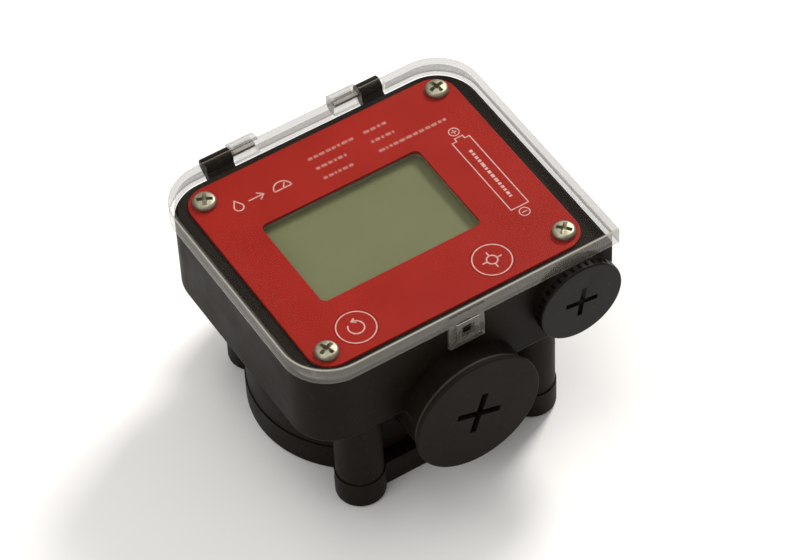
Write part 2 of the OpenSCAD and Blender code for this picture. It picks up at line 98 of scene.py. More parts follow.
case_w = case_high.x - case_low.x
case_d = 69.0
case_floor = 29.5
case_top = plate_low.z
ledge_z = case_top - 1.1
corner_r = 10.8
lip_inset = 0.9
lid_w = lid_high.x - lid_low.x
lid_d = 71.4
lid_bottom = lid_high.z - 4.9
unit_x = port.x
lobe_shift = 8.0
lobe_r = 26.4
boss_dx = 24.0
cover_screws_low, cover_screws_high = corners("cover_screws")
boss_front = cover_screws_low.y + head_r
boss_rear = cover_screws_high.y - head_r
boss_r = 5.8
cover_lip = 0.3
counterbore_z = 3.4
web_front, web_rear = -30.3, 24.9
neck_r = 15.6
cap_neck_r = 10.9
plate_r = 6
knuckle_ends = {"left_knuckle": (-19.1, -12.2), "right_knuckle": (8.6, 15.7)}
skin = 0.01


# ---- solids ----

def new_piece(name, mesh):
    """A scene object from a bmesh whose points are in millimetres."""
    bmesh.ops.recalc_face_normals(mesh, faces=mesh.faces)
    bmesh.ops.scale(mesh, vec=(MM, MM, MM), verts=mesh.verts)
    data = bpy.data.meshes.new(name)
    mesh.to_mesh(data)
    mesh.free()
    piece = bpy.data.objects.new(name, data)
    bpy.context.scene.collection.objects.link(piece)
    return piece


def add_loft(mesh, rings, closed=False):
    """Skins rings of points that all have the same count, with flat ends unless it closes on itself."""
    loops = [[mesh.verts.new(point) for point in ring] for ring in rings]
    following = loops[1:] + loops[:1] if closed else loops[1:]
    for first, second in zip(loops, following):
        for i in range(len(first)):
            mesh.faces.new((first[i - 1], first[i], second[i], second[i - 1]))
    if not closed:
        mesh.faces.new(loops[0])
        mesh.faces.new(loops[-1])


def loft(name, rings, closed=False):
    mesh = bmesh.new()
    add_loft(mesh, rings, closed)
    return new_piece(name, mesh)


def rounded_ends(low, high, ease_low, ease_high, steps=4):
    """(inset, level) pairs of a wall from low to high whose two end edges are rounded."""
    turns = [math.pi / 2 * i / steps for i in range(steps + 1)]
    start = [(ease_low * (1 - math.sin(t)), low + ease_low * (1 - math.cos(t))) for t in turns]
    end = [(ease_high * (1 - math.cos(t)), high - ease_high * (1 - math.sin(t))) for t in turns]
    return start + end


def plan(width, depth, radii, inset, steps=12):
    """Rounded rectangle drawn in by inset. radii start at the rear right corner and run anticlockwise."""
    points = []
    for corner, (sx, sy) in enumerate(((1, 1), (-1, 1), (-1, -1), (1, -1))):
        r = max(radii[corner] - inset, 0.03)
        x = sx * (width / 2 - inset - r)
        y = sy * (depth / 2 - inset - r)
        for i in range(steps + 1):
            turn = math.pi / 2 * (corner + i / steps)
            points.append((x + r * math.cos(turn), y + r * math.sin(turn)))
    return points


def slab(name, width, depth, radii, levels, at=(0, 0)):
    """A plate or block standing on Z, with its outline drawn in by each level's inset."""
    return loft(name, [[(x + at[0], y + at[1], z) for x, y in plan(width, depth, radii, inset)]
                       for inset, z in levels])


def along(axis, centre, r, turn, level):
    """A point at radius r and angle turn round an axis through centre."""
    a, b = r * math.cos(turn), r * math.sin(turn)
    if axis == "x":
        return (level, centre[1] + a, centre[2] + b)
    if axis == "y":
        return (centre[0] + a, level, centre[2] + b)
    return (centre[0] + a, centre[1] + b, level)


def turned(name, axis, centre, profile, sides=96):
    """A lathe-turned solid: profile is (radius, level) pairs along the axis."""
    return loft(name, [[along(axis, centre, r, 2 * math.pi * i / sides, level) for i in range(sides)]
                       for r, level in profile])


def rod(name, axis, centre, r, low, high, ease_low=0.3, ease_high=0.3, sides=96):
    """A round rod with rounded end edges."""
    profile = [(r - inset, level) for inset, level in rounded_ends(low, high, ease_low, ease_high)]
    return turned(name, axis, centre, profile, sides)


def rounded_rim(r, level, ease, steps=5):
    """Profile points of a disc's rounded front edge, for turned."""
    turns = [math.pi / 2 * i / steps for i in range(steps + 1)]
    return [(r - ease * (1 - math.sin(t)), level + ease * (1 - math.cos(t))) for t in turns]


def oblong(half_length, half_width):
    """The four corners of a rectangle about the origin."""
    return [(-half_length, -half_width), (half_length, -half_width),
            (half_length, half_width), (-half_length, half_width)]


def block(name, low, high, ease=0.0, steps=3):
    """A box from corner to corner, its edges rounded by ease."""
    mesh = bmesh.new()
    bmesh.ops.create_cube(mesh, size=1)
    size = [high[i] - low[i] for i in range(3)]
    centre = [(high[i] + low[i]) / 2 for i in range(3)]
    bmesh.ops.scale(mesh, vec=size, verts=mesh.verts)
    bmesh.ops.translate(mesh, vec=centre, verts=mesh.verts)
    if ease:
        bmesh.ops.bevel(mesh, geom=mesh.edges[:], offset=ease, segments=steps, profile=0.5, affect="EDGES")
    return new_piece(name, mesh)


def settle(piece):
    """Makes a piece's modifiers part of its mesh."""
    seen = piece.evaluated_get(bpy.context.evaluated_depsgraph_get())
    piece.data = bpy.data.meshes.new_from_object(seen)
    piece.modifiers.clear()
    return piece


def combined(piece, others, operation):
    """Adds, cuts or keeps what is shared with the other solids, which are used up."""
    for other in others:
        step = piece.modifiers.new("join", "BOOLEAN")
        step.operation = operation
        step.object = other
        step.solver = "MANIFOLD"
    settle(piece)
    for other in others:
        bpy.data.objects.remove(other)
    return piece


def cad_copy(name, node):
    """A watertight copy of a CAD node's mesh."""
    mesh = bmesh.new()
    mesh.from_mesh(frame["nodes"][node].data)
    bmesh.ops.remove_doubles(mesh, verts=mesh.verts, dist=1e-6)
    bmesh.ops.scale(mesh, vec=(1 / MM,) * 3, verts=mesh.verts)
    return new_piece(name, mesh)


def eased(name, node, envelopes):
    """A CAD node with rounded outer edges: the part of it that lies inside the rounded envelopes."""
    hull = combined(envelopes[0], envelopes[1:], "UNION")
    return combined(cad_copy(name, node), [hull], "INTERSECT")


def smooth(piece):
    """Smooth shading that stops at real edges, with flat faces kept flat."""
    data = piece.data
    data.polygons.foreach_set("use_smooth", [True] * len(data.polygons))
    data.set_sharp_from_angle(angle=SMOOTH_ANGLE)
    even = piece.modifiers.new("even", "WEIGHTED_NORMAL")
    even.keep_sharp = True
    even.weight = 100
    return settle(piece)


def place(piece, body, slot, finish, *replaced):
    """Shades a finished piece, gives it its material and fastens it to its body."""
    smooth(piece)
    piece.data.materials.clear()
    piece.data.materials.append(finish)
    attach(piece, body)
    if replaced:
        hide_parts(*replaced)
    return piece


# ---- shader maths ----

class Value:
    """One output of a shader node, which takes part in Python sums."""

    def __init__(self, finish, socket):
        self.finish = finish
        self.socket = socket

    def sum(self, operation, first, second):
        return self.finish.add("ShaderNodeMath", {"operation": operation}, {0: first, 1: second})

    def __add__(self, other):
        return self.sum("ADD", self, other)

    def __radd__(self, other):
        return self.sum("ADD", other, self)

    def __sub__(self, other):
        return self.sum("SUBTRACT", self, other)

    def __rsub__(self, other):
        return self.sum("SUBTRACT", other, self)

    def __mul__(self, other):
        return self.sum("MULTIPLY", self, other)

    def __rmul__(self, other):
        return self.sum("MULTIPLY", other, self)

    def __gt__(self, other):
        return self.sum("GREATER_THAN", self, other)

    def __lt__(self, other):
        return self.sum("LESS_THAN", self, other)

    def spread(self, low, high):
        """This value with low to high stretched to 0 to 1, and held there beyond."""
        return self.finish.add("ShaderNodeMapRange", {"clamp": True},
                               {"Value": self, "From Min": low, "From Max": high})


class Finish:
    """A material and its node tree."""

    def __init__(self, name):
        self.material = bpy.data.materials.new(name)
        self.material.use_nodes = True
        self.tree = self.material.node_tree
        self.tree.nodes.clear()
        self.spot = self.add("ShaderNodeTexCoord", out="Object")

    def add(self, kind, settings=None, sockets=None, out=0):
        """Adds a node: its settings first, then its sockets' values or links."""
        node = self.tree.nodes.new(kind)
        for key, value in (settings or {}).items():
            setattr(node, key, value)
        for key, value in (sockets or {}).items():
            if isinstance(value, Value):
                self.tree.links.new(value.socket, node.inputs[key])
            else:
                node.inputs[key].default_value = value
        return Value(self, node.outputs[out])

    def noise(self, size, detail=3.0, rough=0.55, spot=None):
        """Cloudy values about 0.5, with features of that size in millimetres."""
        return self.add("ShaderNodeTexNoise", None, {
            "Vector": spot or self.spot, "Scale": 1 / (size * MM), "Detail": detail, "Roughness": rough})

    def cells(self, spacing, out="Distance"):
        return self.add("ShaderNodeTexVoronoi", None,
                        {"Vector": self.spot, "Scale": 1 / (spacing * MM)}, out)

    def specks(self, spacing, share, size):
        """Small round spots, on a share of the cells of a loose grid."""
        chosen = self.add("ShaderNodeSeparateColor", None, {"Color": self.cells(spacing, "Color")})
        return (self.cells(spacing) < size / spacing) * (chosen < share)

    def scratches(self, size, turn):
        """Fine lines that run one way."""
        spot = self.add("ShaderNodeMapping", None, {
            "Vector": self.spot, "Rotation": (0.3, 0.2, turn), "Scale": (1.0, 0.04, 1.0)})
        return self.noise(size, 2.0, 0.5, spot).spread(0.64, 0.72)

    def mix(self, share, first, second):
        """A colour between two others."""
        return self.add("ShaderNodeMix", {"data_type": "RGBA"}, {0: share, 6: first, 7: second}, 2)

    def bump(self, height, depth):
        """Surface relief of that depth in millimetres."""
        return self.add("ShaderNodeBump", None, {
            "Height": height, "Strength": 1.0, "Distance": depth * MM}, "Normal")

    def surface(self, **sockets):
        """The main shader, with underscores standing for the spaces in its sockets' names."""
        named = {key.replace("_", " "): value for key, value in sockets.items()}
        named["IOR"] = named.get("IOR", 1.5)
        return self.add("ShaderNodeBsdfPrincipled", None, named)

    def done(self, shader):
        """Ends the node tree with this shader and gives back the material."""
        out = self.tree.nodes.new("ShaderNodeOutputMaterial")
        self.tree.links.new(shader.socket, out.inputs["Surface"])
        return self.material


def grey(value):
    return (value, value, value, 1.0)


def black_plastic(name, dark, light, rough, grain, scuffs, specular):
    """Moulded black plastic: uneven depth of colour, a fine grain, a little dust and light scuffs."""
    f = Finish(name)
    cloud = f.noise(9, 4).spread(0.3, 0.7)
    wear = f.scratches(1.1, 0.5) + f.scratches(1.4, 2.1)
    dust = f.specks(1.6, 0.10, 0.09)
    base = f.mix(cloud, dark, light)
    base = f.mix(wear * scuffs, base, grey(0.06))
    base = f.mix(dust * 0.12, base, grey(0.22))
    fine = f.noise(grain, 2)
    return f.done(f.surface(
        Base_Color=base,
        Roughness=rough + 0.12 * cloud + 0.1 * wear * scuffs,
        Normal=f.bump(fine, 0.006),
        Specular_IOR_Level=specular))


def red_film(name):
    """Red printed film: slightly mottled, semi-gloss, with tiny light and dark flecks."""
    f = Finish(name)
    cloud = f.noise(14, 3).spread(0.3, 0.7)
    mottle = f.noise(0.9, 3).spread(0.25, 0.75)
    base = f.mix(cloud, (0.262, 0.0080, 0.0030, 1), (0.300, 0.0098, 0.0040, 1))
    base = f.mix(mottle * 0.25, base, (0.215, 0.0065, 0.003, 1))
    base = f.mix(f.specks(1.9, 0.07, 0.10) * 0.6, base, (0.60, 0.24, 0.17, 1))
    base = f.mix(f.specks(2.7, 0.05, 0.12) * 0.5, base, (0.11, 0.008, 0.006, 1))
    return f.done(f.surface(
        Base_Color=base,
        Roughness=0.34 + 0.08 * cloud + 0.05 * mottle,
        Normal=f.bump(f.noise(0.6, 2), 0.004),
        Specular_IOR_Level=0.09))


def pale_ink(name, fresh, faded):
    """Screen-printed ink: a pinkish white, thin and slightly broken."""
    f = Finish(name)
    worn = f.noise(0.35, 3).spread(0.35, 0.75)
    return f.done(f.surface(
        Base_Color=f.mix(worn, fresh, faded),
        Roughness=0.5 + 0.1 * worn,
        Normal=f.bump(f.noise(0.3, 2), 0.003)))


def clear_plastic(name, tone, painted_highlight_tone, face, wall, edge):
    """Clear moulded plastic drawn without refraction: faint on flat faces, more opaque on upright walls, and
    more opaque still on rounded edges, which carry a painted highlight colour.
    """
    f = Finish(name)
    normal = f.add("ShaderNodeVectorTransform", {
        "vector_type": "NORMAL", "convert_from": "WORLD", "convert_to": "OBJECT"}, {
        "Vector": f.add("ShaderNodeNewGeometry", out="True Normal")})
    z = f.add("ShaderNodeSeparateXYZ", None, {0: normal}, "Z")
    upright = 1 - z * z
    lines = f.scratches(0.9, 0.9) + f.scratches(1.3, 2.6)
    haze = f.noise(12, 3).spread(0.45, 0.8)
    # Painted highlight: where the normal leans near 45 degrees, on rounded edges, the colour turns to the
    # brighter highlight tone. The edge weight raises the opacity there. Both stand in for the light that
    # real edges bend and reflect.
    painted_edge_highlight = (4 * upright * z * z).spread(0.35, 0.85)
    density = face + 0.006 * haze + 0.015 * lines * z * z + wall * upright + edge * upright * z * z
    return f.done(f.surface(
        Base_Color=f.mix(painted_edge_highlight, f.mix(haze, tone, [c * 0.94 for c in tone[:3]] + [1]), painted_highlight_tone),
        Roughness=0.07 + 0.05 * haze,
        Normal=f.bump(f.noise(6, 2), 0.002),
        Alpha=density,
        Specular_IOR_Level=0.9))


def plated_metal(name, bright, dull, rough):
    """Zinc or nickel plating: patchy tone, fine turning marks and slight relief."""
    f = Finish(name)
    patch = f.noise(1.1, 4).spread(0.3, 0.7)
    fine = f.noise(0.18, 3)
    return f.done(f.surface(
        Base_Color=f.mix(patch, bright, dull),
        Metallic=1.0,
        Roughness=rough + 0.16 * patch,
        Normal=f.bump(fine, 0.006)))


def rubber(name, tone):
    f = Finish(name)
    cloud = f.noise(3, 4).spread(0.3, 0.7)
    return f.done(f.surface(
        Base_Color=f.mix(cloud, tone, [c * 1.6 for c in tone[:3]] + [1]),
        Roughness=0.62 + 0.15 * cloud,
        Normal=f.bump(f.noise(0.25, 3), 0.015),
        Specular_IOR_Level=0.3))


def display_grey(name):
    """The unlit display: grey-green, almost even, with a faint dot grain and a few dust marks."""
    f = Finish(name)
    cloud = f.noise(16, 3).spread(0.3, 0.7)
    grain = f.noise(0.22, 2).spread(0.3, 0.7)
    base = f.mix(cloud, (0.128, 0.140, 0.062, 1), (0.142, 0.154, 0.070, 1))
    base = f.mix(grain * 0.12, base, (0.095, 0.105, 0.05, 1))
    base = f.mix(f.specks(3.1, 0.06, 0.13) * 0.5, base, (0.4, 0.42, 0.3, 1))
    return f.done(f.surface(
        Base_Color=base,
        Roughness=0.38 + 0.08 * cloud,
        Normal=f.bump(f.noise(0.4, 2), 0.003),
        Specular_IOR_Level=0.2))


def board_lacquer(name):
    """Green lacquer over copper tracks."""
    f = Finish(name)
    tracks = f.add("ShaderNodeTexBrick", {"offset": 0.5}, {
        "Vector": f.spot, "Scale": 160.0, "Mortar Size": 0.03, "Color1": grey(0.0), "Color2": grey(0.0),
        "Mortar": grey(1.0)}, "Fac")
    return f.done(f.surface(
        Base_Color=f.mix(tracks, (0.02, 0.12, 0.04, 1), (0.06, 0.26, 0.09, 1)),
        Roughness=0.3 + 0.15 * f.noise(2, 3),
        Normal=f.bump(tracks, 0.03)))


def even_plastic(name, tone, rough):
    """Plain moulded or machined plastic with faint mottling."""
    f = Finish(name)
    cloud = f.noise(1.6, 4).spread(0.3, 0.7)
    return f.done(f.surface(
        Base_Color=f.mix(cloud, tone, [c * 0.82 for c in tone[:3]] + [1]),
        Roughness=rough + 0.1 * cloud,
        Normal=f.bump(f.noise(0.3, 2), 0.01)))


def striped_rubber(name):
    """Conductive rubber: thin dark layers between pale ones."""
    f = Finish(name)
    layers = f.add("ShaderNodeTexWave", {"bands_direction": "X"}, {
        "Vector": f.spot, "Scale": 1200.0, "Distortion": 0.3}, "Fac")
    return f.done(f.surface(
        Base_Color=f.mix(layers, (0.55, 0.28, 0.32, 1), (0.05, 0.05, 0.05, 1)),
        Roughness=0.6 + 0.1 * layers))


def cell_sleeve(name):
    """Shrink sleeve of the cell: green body with a pale ring near its button end."""
    f = Finish(name)
    y = f.add("ShaderNodeSeparateXYZ", None, {0: f.spot}, "Y")
    ring = (y > (cell.y + 17) * MM) * (y < (cell.y + 20) * MM)
    cloud = f.noise(4, 3)
    base = f.mix(cloud, (0.05, 0.20, 0.09, 1), (0.07, 0.26, 0.12, 1))
    return f.done(f.surface(
        Base_Color=f.mix(ring, base, grey(0.6)),
        Roughness=0.25 + 0.1 * cloud,
        Normal=f.bump(f.noise(2.5, 2), 0.02)))


finishes = {
    "black_case": black_plastic(
        "black_case", (0.0075, 0.0052, 0.0034, 1), (0.0118, 0.0083, 0.0056, 1),
        rough=0.42, grain=0.2, scuffs=0.1, specular=0.06),
    "black_plug": black_plastic(
        "black_plug", (0.0105, 0.0078, 0.0060, 1), (0.0135, 0.0103, 0.0080, 1),
        rough=0.55, grain=0.3, scuffs=0.1, specular=0.08),
    "black_cap": black_plastic(
        "black_cap", (0.0055, 0.0042, 0.0034, 1), (0.0075, 0.0058, 0.0047, 1),
        rough=0.30, grain=0.3, scuffs=0.1, specular=0.10),
    # The second colour of each clear finish is its painted edge highlight. For the lid it is much paler than
    # its tone; for the pane it is the same as its tone.
    "clear_lid": clear_plastic(
        "clear_lid", (0.20, 0.185, 0.16, 1), (0.62, 0.58, 0.52, 1), face=0.010, wall=0.40, edge=2.4),
    "clear_pane": clear_plastic(
        "clear_pane", (0.50, 0.48, 0.38, 1), (0.50, 0.48, 0.38, 1), face=0.008, wall=0.10, edge=0.3),
    "red_plate": red_film("red_plate"),
    "pale_ink": pale_ink("pale_ink", (0.60, 0.38, 0.34, 1), (0.42, 0.15, 0.12, 1)),
    "plated_screw": plated_metal("plated_screw", (0.40, 0.38, 0.28, 1), (0.24, 0.23, 0.165, 1), 0.36),
    "shaft_steel": plated_metal("shaft_steel", (0.62, 0.62, 0.63, 1), (0.5, 0.5, 0.51, 1), 0.18),
    "seal_rubber": rubber("seal_rubber", (0.012, 0.012, 0.012, 1)),
    "washer_fibre": rubber("washer_fibre", (0.03, 0.028, 0.025, 1)),
    "display_grey": display_grey("display_grey"),
    "frame_black": even_plastic("frame_black", (0.24, 0.21, 0.14, 1), 0.5),
    "board_green": board_lacquer("board_green"),
    "component_black": even_plastic("component_black", (0.02, 0.02, 0.022, 1), 0.45),
    "contact_rubber": striped_rubber("contact_rubber"),
    "contact_metal": plated_metal("contact_metal", (0.66, 0.63, 0.52, 1), (0.5, 0.47, 0.38, 1), 0.2),
    "rotor_plastic": even_plastic("rotor_plastic", (0.70, 0.68, 0.58, 1), 0.4),
    "bush_brass": plated_metal("bush_brass", (0.55, 0.42, 0.20, 1), (0.42, 0.31, 0.15, 1), 0.28),
    "magnet_metal": plated_metal("magnet_metal", (0.55, 0.55, 0.57, 1), (0.42, 0.42, 0.44, 1), 0.2),
    "cell_wrap": cell_sleeve("cell_wrap"),
}
faint_ink = pale_ink("faint_ink", (0.44, 0.17, 0.13, 1), (0.33, 0.06, 0.04, 1))
for subpart in frame["record"]["subparts"]:
    data = frame["nodes"][subpart["node"]].data
    data.materials.clear()
    data.materials.append(finishes[subpart["material_slot"]])


# ---- case ----

boss_places = [(unit_x + side * boss_dx, y) for side in (-1, 1) for y in (boss_front, boss_rear)]


def bosses(prefix, r, low, high, ease_low, ease_high):
    """The four round screw bosses."""
    return [rod(f"{prefix}{i}", "z", (x, y, 0), r - skin, low, high, ease_low, ease_high, 64)
            for i, (x, y) in enumerate(boss_places)]


def lobes(prefix, r, low, high, ease_low, ease_high):
    """The two overlapping drums round the rotors."""
    return [rod(f"{prefix}{i}", "z", (x, 0, 0), r - skin, low, high, ease_low, ease_high, 160)
            for i, x in enumerate((unit_x - lobe_shift, unit_x + lobe_shift))]


def make_housing():
    """The case, measuring unit and port necks, with every outer edge rounded as moulded."""
    radii = (corner_r, corner_r, corner_r, 0.5)
    lower = rounded_ends(case_floor + skin, ledge_z - skin, 1.0, 0.25)
    upper = [(lip_inset + skin + inset, z)
             for inset, z in rounded_ends(ledge_z - 0.5, case_top - skin, 0.05, 0.3)]
    envelopes = [
        slab("case", case_w - 2 * skin, case_d - 2 * skin, radii, lower),
        slab("lip", case_w, case_d, radii, upper),
        block("web", (unit_x - boss_dx + skin, boss_front + 1 + skin, cover_high.z + skin),
              (unit_x + boss_dx - skin, boss_rear - 1 - skin, case_floor + 1), 0.3),
        rod("front_neck", "y", port, neck_r - skin, washer_high.y + skin, 0, 0.5, 0.3, 128),
        rod("rear_neck", "y", port, neck_r - skin, 0, case_high.y - skin, 0.3, 0.8, 128),
        rod("cap_neck", "y", cap, cap_neck_r - skin, cap_low.y + 2.3, -case_d / 2 + 2, 0.25, 0.3),
        block("lugs", (-26.7, 33.6, 49.3), (22, 40, 56)),
        block("catch", (-3, -36, 48), (2.4, -33, 52)),
    ]
    envelopes += bosses("boss", boss_r, cover_high.z + skin, case_floor + 1, 0.1, 0.3)
    envelopes += lobes("lobe", lobe_r, cover_high.z + skin, case_floor + 1, 0.1, 0.3)
    return eased("housing_shell", "housing", envelopes)


place(make_housing(), "housing", "black_case", finishes["black_case"], "housing")


def make_bottom():
    """The bottom cover, its lower edge rounded all round."""
    ease = 1.0
    top = cover_high.z - skin
    envelopes = lobes("lobe", lobe_r + cover_lip, skin, top, ease, 0.12)
    envelopes += bosses("boss", boss_r + cover_lip, skin, top, ease, 0.12)
    envelopes.append(slab("web", 2 * boss_dx - 2 * skin, web_rear - web_front - 2 * skin, (0.5,) * 4,
                          rounded_ends(skin, top, ease, 0.25), (unit_x, (web_rear + web_front) / 2)))
    return eased("bottom_shell", "bottom_cover", envelopes)


place(make_bottom(), "housing", "black_case", finishes["black_case"], "bottom_cover")


# ---- lid ----

def make_lid():
    """The clear lid, with its outer edges and snap tab rounded."""
    r = corner_r + (lid_w - case_w) / 2
    levels = rounded_ends(lid_bottom + skin, lid_high.z - skin, 0.35, 0.55, 5)
    rear, top = lid_high.y - skin, lid_high.z - skin
    envelopes = [slab("cover", lid_w - 2 * skin, lid_d - 2 * skin, (r, r, r, 0.4), levels)]
    for name, (left, right) in knuckle_ends.items():
        envelopes.append(block(name, (left + skin, 34, 50), (right - skin, rear, top), 0.25))
    envelopes += [
        block("tab", (-5.1 + skin, lid_low.y + 0.4 + skin, lid_low.z + skin), (4.5 - skin, -33, 56.5), 0.45),
        block("tab_pad", (-3.4 + skin, lid_low.y + skin, 46.9 + skin), (2.8 - skin, -34, 53.1), 0.3),
    ]
    return eased("clear_cover", "lid", envelopes)


place(make_lid(), "lid", "clear_lid", finishes["clear_lid"], "lid")


# ---- plate and keys ----

def make_plate():
    """The printed plate with its edges eased."""
    width = plate_high.x - plate_low.x
    depth = plate_high.y - plate_low.y
    levels = rounded_ends(plate_low.z + skin, plate_high.z - skin, 0.08, 0.22)
    body = slab("plate_body", width - 2 * skin, depth - 2 * skin, (plate_r,) * 4, levels)
    return eased("red_faceplate", "faceplate", [body])


place(make_plate(), "housing", "red_plate", finishes["red_plate"], "faceplate")


def make_key(name, node):
    """A key with its disc's edge eased."""
    low, high = corners(node)
    centre = middle(node)
    r = (high.x - low.x) / 2
    disc = rod("disc", "z", centre, r - skin, high.z - 0.25, high.z - skin, 0.03, 0.06)
    stem = rod("stem", "z", centre, 3.5, low.z - 1, high.z - 0.2)
    return eased(name, node, [disc, stem])


for name in ("reset", "calibrate"):
    key = make_key(f"{name}_button", f"{name}_key")
    place(key, f"{name}_key", "red_plate", finishes["red_plate"], f"{name}_key")


# ---- screws ----

def make_screw(name, x, y, z, up, turn, length):
    """A pan-head screw with a tapered cross recess. z is the underside of its head."""
    dome = [(head_r - 0.12, z), (head_r, z + up * 0.12), (head_r, z + up * 0.5)]
    for i in range(1, 9):
        t = math.pi / 2 * i / 8
        dome.append((head_r - 0.95 * (1 - math.cos(t)), z + up * (0.5 + (head_h - 0.72) * math.sin(t))))
    dome += [(head_r * 0.45, z + up * (head_h - 0.1)), (0.02, z + up * (head_h - 0.03))]
    shank_r = 1.45
    shank = [(shank_r - 0.4, z - up * length), (shank_r, z - up * (length - 0.4)), (shank_r, z)]
    screw = turned(name, "z", (x, y, 0), shank + dome, 48)
    cutters = []
    for i in range(2):
        angle = turn + i * math.pi / 2
        rings = []
        for half, width, level in ((1.0, 0.36, 0.3), (2.3, 0.52, head_h + 0.2)):
            rings.append([(x + a * math.cos(angle) - b * math.sin(angle),
                           y + a * math.sin(angle) + b * math.cos(angle), z + up * level)
                          for a, b in oblong(half, width)])
        cutters.append(loft("arm", rings))
    return combined(screw, cutters, "DIFFERENCE")


def joined(name, solids):
    """Several solids as one object, each still closed."""
    mesh = bmesh.new()
    for solid in solids:
        mesh.from_mesh(solid.data)
        bpy.data.objects.remove(solid)
    data = bpy.data.meshes.new(name)
    mesh.to_mesh(data)
    mesh.free()
    piece = bpy.data.objects.new(name, data)
    bpy.context.scene.collection.objects.link(piece)
    return piece


plate_screws = [make_screw("screw", x, y, plate_high.z, 1, turn, 4.8)
                for (x, y), turn in zip(screw_places, (0.35, 1.1, 0.75, 0.2))]
place(joined("plate_screws", plate_screws), "housing", "plated_screw", finishes["plated_screw"],
      "faceplate_screws")
case_screws = [make_screw("screw", x, y, counterbore_z, -1, turn, 13)
               for (x, y), turn in zip(boss_places, (0.4, 1.2, 0.9, 0.1))]
place(joined("case_screws", case_screws), "housing", "plated_screw", finishes["plated_screw"],
      "cover_screws")


# ---- plug, washer and battery cap ----

thread_pitch = 1.814


def make_thread(name, centre, root, crest, low, high, step, flat=0.24, sides=64):
    """A helical ridge round an axis along Y, from root radius to crest radius."""
    half = 0.46 * step
    turns = (high - low - 2 * half) / step
    count = int(turns * sides)
    rings = []
    for i in range(count + 1):
        turn = 2 * math.pi * i / sides
        y = high - half - step * i / sides
        fade = min(1.0, 6.0 * i / sides, 6.0 * (count - i) / sides)
        tip = root + (crest - root) * max(fade, 0.05)
        profile = ((root, y - half), (tip, y - flat), (tip, y + flat), (root, y + half))
        rings.append([along("y", centre, r, turn, level) for r, level in profile])
    return loft(name, rings)


def cross_cut(centre, face, arm, width, depth, turn):
    """The two cutters of a cross slot in a face that looks along -Y."""
    cutters = []
    for i in range(2):
        angle = math.radians(turn) + i * math.pi / 2
        rings = []
        for y in (face - 0.5, face + depth):
            rings.append([(centre.x + a * math.cos(angle) + b * math.sin(angle), y,
                           centre.z - a * math.sin(angle) + b * math.cos(angle))
                          for a, b in oblong(arm / 2, width / 2)])
        cutters.append(loft("slot", rings))
    return cutters


def make_plug():
    """The port's screw plug: a rounded flange, a smooth hollow spigot and a cross slot."""
    r = (plug_high.x - plug_low.x) / 2
    face = plug_low.y
    back = washer_low.y
    core_r, hollow_r, hollow_end = 12.9, 10.7, -37
    profile = rounded_rim(r - skin, face + skin, 0.5)
    profile += [(r - skin, back - 0.25), (r - 0.2, back - skin), (core_r, back - skin),
                (core_r, plug_high.y - 0.6), (core_r - 0.6, plug_high.y - skin)]
    plug = turned("screw_plug", "y", port, profile, 128)
    hollow = rod("hollow", "y", port, hollow_r, hollow_end, plug_high.y + 1)
    slot = cross_cut(port, face, arm=12.2, width=1.8, depth=3, turn=18)
    return combined(plug, slot + [hollow], "DIFFERENCE")


place(make_plug(), "front_plug", "black_plug", finishes["black_plug"], "front_plug")


def make_washer():
    """The flat washer under the plug's flange."""
    outer_r, hole_r = 16.2, 12.95
    outer = rod("plug_seal", "y", port, outer_r - skin, washer_low.y + skin, washer_high.y - skin,
                0.2, 0.2, 128)
    hole = rod("hole", "y", port, hole_r, washer_low.y - 1, washer_high.y + 1)
    return combined(outer, [hole], "DIFFERENCE")


place(make_washer(), "plug_washer", "washer_fibre", finishes["washer_fibre"], "plug_washer")


def make_cap():
    """The battery cap with its front and back edges rounded."""
    r = (cap_high.x - cap_low.x) / 2
    face = cap_low.y
    back = face + 2.25
    spigot_r = 9.0
    profile = [(r - 0.7, face + skin)] + rounded_rim(r - skin, face + skin, 0.45)
    profile += [(r - skin, back - 0.2), (r - 0.2, back - skin), (spigot_r, back - skin),
                (spigot_r, cap_high.y - 0.5), (spigot_r - 0.5, cap_high.y - skin)]
    body = turned("cap_body", "y", cap, profile, 144)
    return combined(cad_copy("battery_cover", "battery_cap"), [body], "INTERSECT")


place(make_cap(), "battery_cap", "black_cap", finishes["black_cap"], "battery_cap")


# ---- printing ----

INK = 0.03


def add_strip(mesh, points, width, z, closed=False):
    """A thin flat line of ink through points on the plate."""
    count = len(points)
    sides = []
    for i, point in enumerate(points):
        here = Vector(point)
        before = here - Vector(points[i - 1]) if closed or i else Vector((0, 0))
        after = Vector(points[(i + 1) % count]) - here if closed or i < count - 1 else Vector((0, 0))
        before.normalize()
        after.normalize()
        way = (before + after).normalized()
        reach = width / 2 / max(way.dot(after if after.length else before), 0.4)
        aside = Vector((-way.y, way.x)) * reach
        sides.append((here - aside, here + aside))
    top = z + INK
    rings = [[(*a, z), (*b, z), (*b, top), (*a, top)] for a, b in sides]
    add_loft(mesh, rings, closed)


def add_patch(mesh, points, z):
    """A filled flat shape of ink."""
    add_loft(mesh, [[(x, y, level) for x, y in points] for level in (z, z + INK)])


def arc(x, y, r, start, end, steps=48):
    """Points on an arc, angles in degrees."""
    return [(x + r * math.cos(math.radians(start + (end - start) * i / steps)),
             y + r * math.sin(math.radians(start + (end - start) * i / steps))) for i in range(steps + 1)]


def ring(x, y, r, steps=72):
    """Points round a circle."""
    return arc(x, y, r, 0, 360, steps)[:-1]


def add_dashes(mesh, x, y, length, height, seed, z, upright=False):
    """A broken bar, where a line of small print would be."""
    draw = random.Random(seed)
    reach = 0.0
    while reach < length:
        dash = min(draw.uniform(0.5, 1.6), length - reach)
        if dash > 0.3:
            a, b = reach, reach + dash
            if upright:
                add_patch(mesh, [(x, y + a), (x + height, y + a), (x + height, y + b), (x, y + b)], z)
            else:
                add_patch(mesh, [(x + a, y), (x + b, y), (x + b, y + height), (x + a, y + height)], z)
        reach += dash + draw.uniform(0.35, 0.5)


